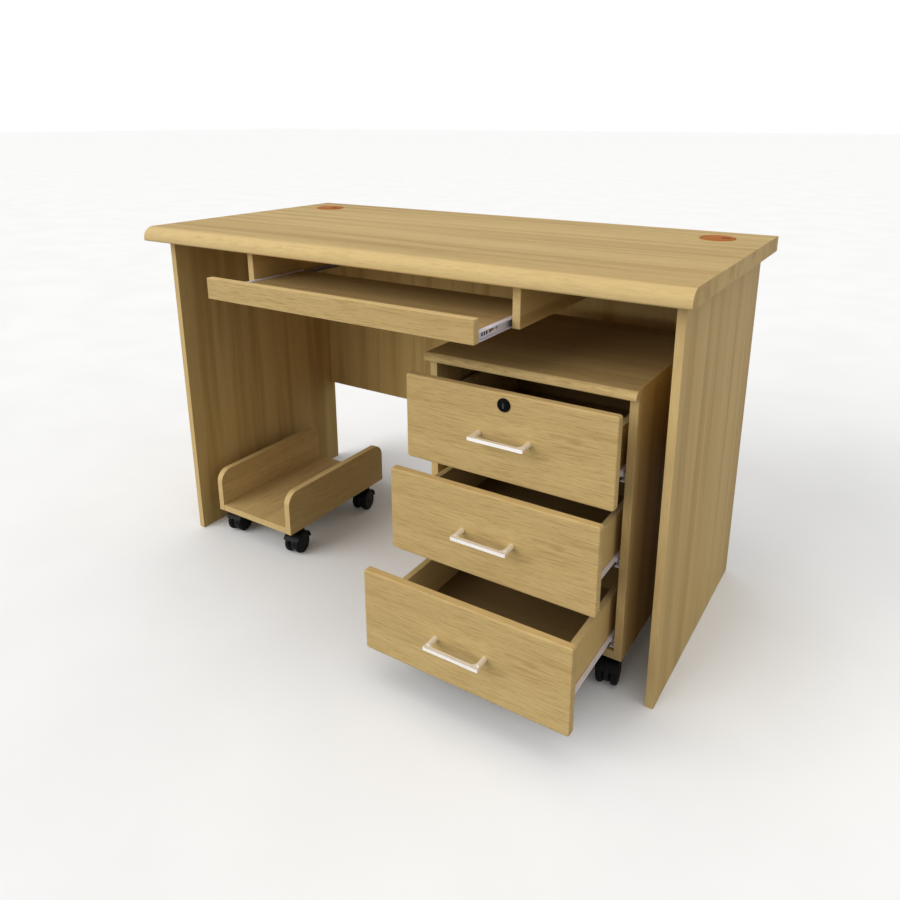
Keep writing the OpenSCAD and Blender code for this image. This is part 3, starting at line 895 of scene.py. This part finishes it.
def handle_shape():
    """A bow handle about its own middle, with y = 0 on the drawer front's face."""
    low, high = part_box("drawer_1_handle")
    face, back = (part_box("drawer_1_front")[end].y for end in (0, 1))
    half, reach, tall, deep = (high.x - low.x) / 2, face - low.y, 0.006, 0.007
    leg_r, fillet = 0.0048, 0.005
    leg_x, inner, stub = half - leg_r, half - 2 * leg_r, deep + fillet + 0.001 - reach
    outline = rounded(
        [
            (-half, stub), (-half, -reach), (half, -reach), (half, stub), (inner, stub),
            (inner, deep - reach), (-inner, deep - reach), (-inner, stub),
        ],
        [0, 0.0008, 0.0008, 0, 0, fillet, fillet, 0],
        5,
    )
    bar = round_edges(
        extruded(outline, Z, -tall / 2, tall / 2), lambda a, b: abs(a.z - b.z) < 1e-6, 0.0013, 3
    )
    start, swell = 0.0035, 0.005
    long = reach - start
    leg = rounded(
        [(0, 0), (tall / 2 - 0.0002, 0), (leg_r, swell), (leg_r, long), (0, long)],
        [0, 0.0005, 0.002, 0.0003, 0],
        closed=False,
    )
    places = (-leg_x, leg_x)
    legs = [moved(lathed(leg), (x, -long, 0), Y) for x in places]
    screws = [painted(moved(screw_head(0.004, 0.0025), (x, back - face, 0), Y), 1) for x in places]
    return joined(carved(bar, add=legs), *screws)


def lock():
    """A cam lock: a flanged barrel with its nut, and a plug with its keyway and cam."""
    low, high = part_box("lock_housing")
    plug_low, plug_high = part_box("lock_plug")
    centre_x, centre_z = (low.x + high.x) / 2, (low.z + high.z) / 2
    face, back = (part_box("drawer_1_front")[end].y for end in (0, 1))
    plug_r, cam_t, cam_w = 0.007, 0.002, 0.010
    flange_r, bore_r, long = (high.x - low.x) / 2, plug_r + 2 * FIT, high.y - low.y
    proud = face - low.y
    outline = rounded(
        [
            (bore_r, 0.0002), (bore_r + 0.0006, 0.0002), (flange_r - 0.003, 0.0006),
            (flange_r - 0.002, 0), (flange_r, 0.0004), (flange_r, proud), (lock_barrel_r, proud),
            (lock_barrel_r, long), (bore_r, long),
        ],
        [0, 0, 0.0004, 0.0004, 0.0010, 0, 0, 0.0004, 0],
    )
    barrel = lathed(outline, closed=True, segments=64)
    nut_t, nut_r = 0.0035, 0.0125
    nut_at = back - low.y + 0.0001
    nut = carved(
        extruded(arc((0, 0), nut_r, 0, 300, 5), Z, nut_at, nut_at + nut_t),
        cut=[moved(rod(lock_barrel_r + 0.0001, 0.02), (0, 0, nut_at - 0.005))],
    )
    housing = moved(joined(barrel, painted(nut, 1)), (centre_x, low.y, centre_z), Y)
    finish("lock_barrel", housing, [black_lock, zinc], "drawer_1", ["lock_housing"])

    cam_y = plug_high.y - cam_t
    key_half, key_deep = 0.0048, 0.0055
    keyway = [
        block((-0.0011, -key_half, -0.001), (0.0011, key_half, key_deep)),
        block((-0.0020, -0.0012, -0.001), (0.0020, 0.0012, key_deep)),
    ]
    plug = carved(rod(plug_r, cam_y - plug_low.y, 0.0007, 64), cut=keyway)
    for f in plug.faces:
        inside = f.calc_center_median()
        if math.hypot(inside.x, inside.y) < key_half + 0.0002 and 0.0001 < inside.z < key_deep + CLEAR:
            f.material_index = 1
    left, right, cam_top = centre_x - cam_w / 2, centre_x + cam_w / 2, centre_z + cam_w / 2
    cam_outline = rounded(
        [(left, plug_low.z), (right, plug_low.z), (right, cam_top), (left, cam_top)],
        [0.002, 0.002, 0.0045, 0.0045],
    )
    cam = extruded(cam_outline, Y, cam_y, plug_high.y)
    whole = joined(moved(plug, (centre_x, plug_low.y, centre_z), Y), painted(cam, 2))
    finish("lock_cylinder", whole, [black_lock, lock_steel, zinc], "lock", ["lock_plug"])


handle = handle_shape()
for k in (1, 2, 3):
    drawer_front(k)
    drawer_box(k)
    drawer_runners(k)
    low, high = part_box(f"drawer_{k}_handle")
    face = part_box(f"drawer_{k}_front")[0].y
    here = handle.copy()
    here.transform(Matrix.Translation(((low.x + high.x) / 2, face, (low.z + high.z) / 2)))
    finish(
        f"drawer_{k}_bow_handle", here, [satin, zinc], f"drawer_{k}",
        [f"drawer_{k}_handle"],
    )
handle.free()
lock()

# ----------------------------------------------------------------- trolley



def cart_side(node):
    """A low side with its two upper corners rounded."""
    low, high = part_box(node)
    corners = [(low.y, low.z), (high.y, low.z), (high.y, high.z), (low.y, high.z)]
    bm = extruded(rounded(corners, [0.0005, 0.0005, 0.03, 0.03], 14), X, low.x, high.x)
    round_edges(bm, lambda a, b: abs(a.x - b.x) < 1e-6, 0.0012, 3)
    piece = finish(f"{node}_board", bm, [oak_plain, oak_edge], "cart", [node])
    lay_grain(piece, Y, X, seed_of(node))
    edge_faces(piece, X)


board("cart_base", "cart", Y, Z, oak_plain, cut=stem_sockets("cart", "cart_base"))
cart_side("cart_side_left")
cart_side("cart_side_right")

# ----------------------------------------------------------------- casters

wheel_r, wheel_w, wheel_gap, web_half = 0.025, 0.014, 0.006, 0.005
wheel_far = wheel_gap + wheel_w
axle_r, boss_r, boss_z, trail = 0.003, 0.008, 0.0377, 0.018


def wheel_pair_shape():
    """Two wheels about their axle, which lies along X through the origin."""
    rim, hub, slant, bore_r = 0.0180, 0.0085, 0.0008, axle_r + FIT
    bore_end, dish_x, cap_x = wheel_far - 0.002, wheel_far - 0.0012, wheel_far - 0.0002
    outline = rounded(
        [
            (0, bore_end), (bore_r, bore_end), (bore_r, wheel_gap), (wheel_r, wheel_gap),
            (wheel_r, wheel_far), (rim, wheel_far), (rim - slant, dish_x),
            (hub + slant, dish_x), (hub, cap_x), (0, cap_x),
        ],
        [0, 0, 0, 0.006, 0.006, 0.0004, 0.0004, 0.0004, 0.0006, 0],
        6,
        closed=False,
    )
    one = moved(lathed(outline, segments=72), axis=X)
    for f in one.faces:
        if math.hypot(*f.calc_center_median().yz) > wheel_r - 0.005:
            f.material_index = 1
    return mirrored_pair(one)


def fork_shape():
    """The hood, web, boss, stem and axle, about the axle. The stem is on the +Y side."""
    hood_r, lift, lean = wheel_r + 0.004, 0.004, math.radians(235)
    first = math.degrees(math.asin(lift / hood_r))
    last = math.degrees(lean - math.acos(lift / hood_r))
    corner_y = lift * (1 - math.sin(lean)) / math.cos(lean)
    outline = arc((0, 0), hood_r, first, last, 30) + [(corner_y, lift)]
    hood = extruded(outline, X, -wheel_far, wheel_far)
    round_edges(
        hood,
        lambda a, b: abs(a.x - b.x) < 1e-6 and min(math.hypot(*a.yz), math.hypot(*b.yz)) > hood_r - 1e-5,
        0.0022, 3,
    )
    web = moved(rod(0.84 * wheel_r, 2 * web_half, 0.0008, 64), (-web_half, 0, 0), X)
    boss_foot = 0.4 * wheel_r
    boss = moved(rod(boss_r, boss_z - boss_foot, 0.0006), (0, trail, boss_foot))
    space_r, space_l = wheel_r + 0.001, wheel_w + 0.01
    spaces = [
        moved(rod(space_r, space_l, segments=72), (side * web_half, 0, 0), X, back=side < 0)
        for side in (-1, 1)
    ]
    body = carved(hood, add=[web, boss], cut=spaces)
    sunk = 0.001
    stem = moved(rod(stem_r, stem_l + sunk, 0.0006), (0, trail, boss_z - sunk))
    axle_half = wheel_far - 0.0025
    axle = moved(rod(axle_r, 2 * axle_half, 0.0003, 24), (-axle_half, 0, 0), X)
    return joined(body, painted(stem, 1), painted(axle, 1))


wheel_shape, fork = wheel_pair_shape(), fork_shape()
for joint in frame["joints"]:
    if not joint["name"].endswith("_spin"):
        continue
    # A pair of wheels rides on the body named like ped_roll_fl, and its hood on ped_swivel_fl
    own, _, tag = joint["child"].split("_")
    turn = math.atan2(joint["axis"][1], joint["axis"][0])
    place = Matrix.Translation(joint["pos_m"]) @ Matrix.Rotation(turn, 4, "Z")
    for shape, name, body, node, materials in (
        (wheel_shape, "wheel_pair", f"{own}_roll_{tag}", "wheels", [black_plastic, black_wheel]),
        (fork, "caster_hood", f"{own}_swivel_{tag}", "fork", [black_plastic, zinc]),
    ):
        here = shape.copy()
        here.transform(place)
        finish(f"{own}_{name}_{tag}", here, materials, body, [f"{own}_{node}_{tag}"])
wheel_shape.free()
fork.free()

# -------------------------------------------------- carried-over CAD nodes

for name, material in (("desk_dowels", beech), ("tray_ball_cages", zinc)):
    slots = frame["nodes"][name].data.materials
    slots.clear()
    slots.append(material)

# -------------------------------------------------- floor, light and camera


def soft_sun(name, place, power):
    """A wide, faintly warm light that shines from a place towards the origin."""
    data = bpy.data.lights.new(name, "SUN")
    data.energy = power
    data.angle = math.radians(50.0)
    data.color = (1.0, 0.995, 0.98)
    lamp = bpy.data.objects.new(name, data)
    lamp.location = place
    lamp.rotation_euler = (-Vector(place)).to_track_quat("-Z", "Y").to_euler()
    scene.collection.objects.link(lamp)


def studio(strength):
    """A world that lights evenly, and shows white behind the floor's far edge."""
    world = bpy.data.worlds.new("studio")
    world.use_nodes = True
    nodes, links = world.node_tree.nodes, world.node_tree.links
    sky, white = nodes["Background"], nodes.new("ShaderNodeBackground")
    for background, power in ((sky, strength), (white, 1.0)):
        background.inputs["Color"].default_value = (1.0, 1.0, 1.0, 1.0)
        background.inputs["Strength"].default_value = power
    path, mix = nodes.new("ShaderNodeLightPath"), nodes.new("ShaderNodeMixShader")
    links.new(path.outputs["Is Camera Ray"], mix.inputs[0])
    links.new(sky.outputs[0], mix.inputs[1])
    links.new(white.outputs[0], mix.inputs[2])
    links.new(mix.outputs[0], nodes["World Output"].inputs["Surface"])
    scene.world = world


def grey(level):
    return (level, level, level, 1.0)


def pale_floor():
    """A plain pale floor. It throws back less light than it shows, as a wide white one would flood
    the shaded faces from below.
    """
    s = Shader("pale_floor")
    cloud = s.span(s.noise(s.coordinates(), 3.0, 3.0), 0.3, 0.7)
    bounce = s.add("ShaderNodeLightPath").outputs["Is Diffuse Ray"]
    s.set(
        Base_Color=s.mix(bounce, s.mix(cloud, grey(0.93), grey(0.96)), grey(0.22)),
        Roughness=0.95,
        Specular_IOR_Level=0.1,
    )
    bm = bmesh.new()
    bmesh.ops.create_grid(bm, x_segments=1, y_segments=1, size=60.0)
    mesh = bpy.data.meshes.new("floor")
    bm.to_mesh(mesh)
    bm.free()
    mesh.materials.append(s.material)
    floor = bpy.data.objects.new("floor", mesh)
    floor.location.z = cad_bounds[0][2] - 0.0002
    scene.collection.objects.link(floor)
    floor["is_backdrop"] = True


pale_floor()
studio(0.54)
soft_sun("key", (-0.50, -0.76, 0.42), 1.85)
soft_sun("top", (0.0, -0.05, 1.0), 0.62)
soft_sun("side", (0.95, -0.12, 0.28), 0.45)

view_data = bpy.data.cameras.new("view")
view_data.sensor_width = 36.0
view_data.lens = 30.5
view_data.shift_x = -0.010
view_data.shift_y = -0.117
camera = bpy.data.objects.new("view", view_data)
# The camera stands in front of the desk on its right, and looks left by heading and down by dip
heading, dip = math.radians(32.281), math.radians(16.469)
forward = Vector(
    (-math.sin(heading) * math.cos(dip), math.cos(heading) * math.cos(dip), -math.sin(dip))
)
camera.location = (0.8755, top_low.y - 1.0428, 0.9756)
camera.rotation_euler = forward.to_track_quat("-Z", "Y").to_euler()
scene.collection.objects.link(camera)
scene.camera = camera
scene.view_settings.view_transform = "Standard"

# ------------------------------------------------------------------- bounds

boxes = {"cad": cad_bounds, "visual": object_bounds()}
{name: [list(corner) for corner in box] for name, box in boxes.items()}
